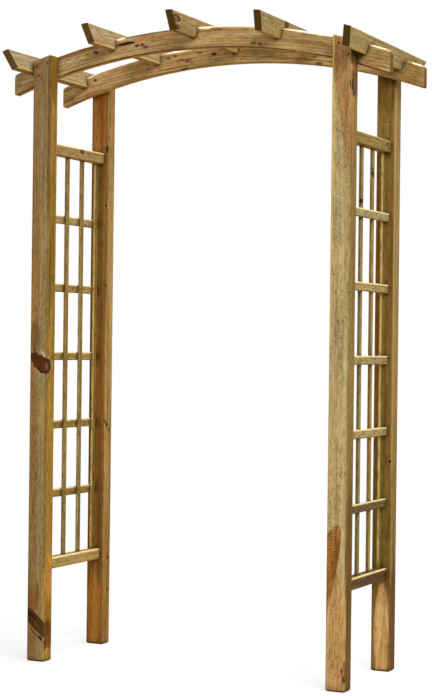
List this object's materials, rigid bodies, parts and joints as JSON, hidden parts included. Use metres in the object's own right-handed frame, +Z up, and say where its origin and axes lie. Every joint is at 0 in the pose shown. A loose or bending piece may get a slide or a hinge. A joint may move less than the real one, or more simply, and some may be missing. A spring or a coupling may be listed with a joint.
{
  "type": "garden arbor",
  "caption": "Free-standing round-top timber garden arch: square-cut posts carry arched beams with rafters let into them, and a slatted trellis closes each side.",
  "frame": {"origin": "on the ground at the middle of the plan, between the four posts", "axes": "+X to the right across the walkway, -Y to the front, +Z up"},
  "size_m": [1.425, 0.74, 2.233],
  "materials": {
    "post_timber": "planed pressure-treated softwood, honey brown with knots",
    "arch_timber": "planed pressure-treated softwood, honey brown",
    "rafter_timber": "planed pressure-treated softwood, paler and greener",
    "rail_timber": "planed pressure-treated softwood, greenish tan",
    "trellis_timber": "planed pressure-treated softwood battens, greenish tan"
  },
  "bodies": {
    "root": {"post_front_left": "post_timber", "post_front_right": "post_timber", "post_back_left": "post_timber", "post_back_right": "post_timber", "arch_front": "arch_timber", "arch_back": "arch_timber", "rafter_1": "rafter_timber", "rafter_2": "rafter_timber", "rafter_3": "rafter_timber", "rafter_4": "rafter_timber", "rafter_5": "rafter_timber", "top_rail_left": "rail_timber", "bottom_rail_left": "rail_timber", "slat_left_1": "trellis_timber", "slat_left_2": "trellis_timber", "slat_left_3": "trellis_timber", "slat_left_4": "trellis_timber", "slat_left_5": "trellis_timber", "upright_left_1": "trellis_timber", "upright_left_2": "trellis_timber", "upright_left_3": "trellis_timber", "upright_left_4": "trellis_timber", "top_rail_right": "rail_timber", "bottom_rail_right": "rail_timber", "slat_right_1": "trellis_timber", "slat_right_2": "trellis_timber", "slat_right_3": "trellis_timber", "slat_right_4": "trellis_timber", "slat_right_5": "trellis_timber", "upright_right_1": "trellis_timber", "upright_right_2": "trellis_timber", "upright_right_3": "trellis_timber", "upright_right_4": "trellis_timber"}
  },
  "joints": []
}
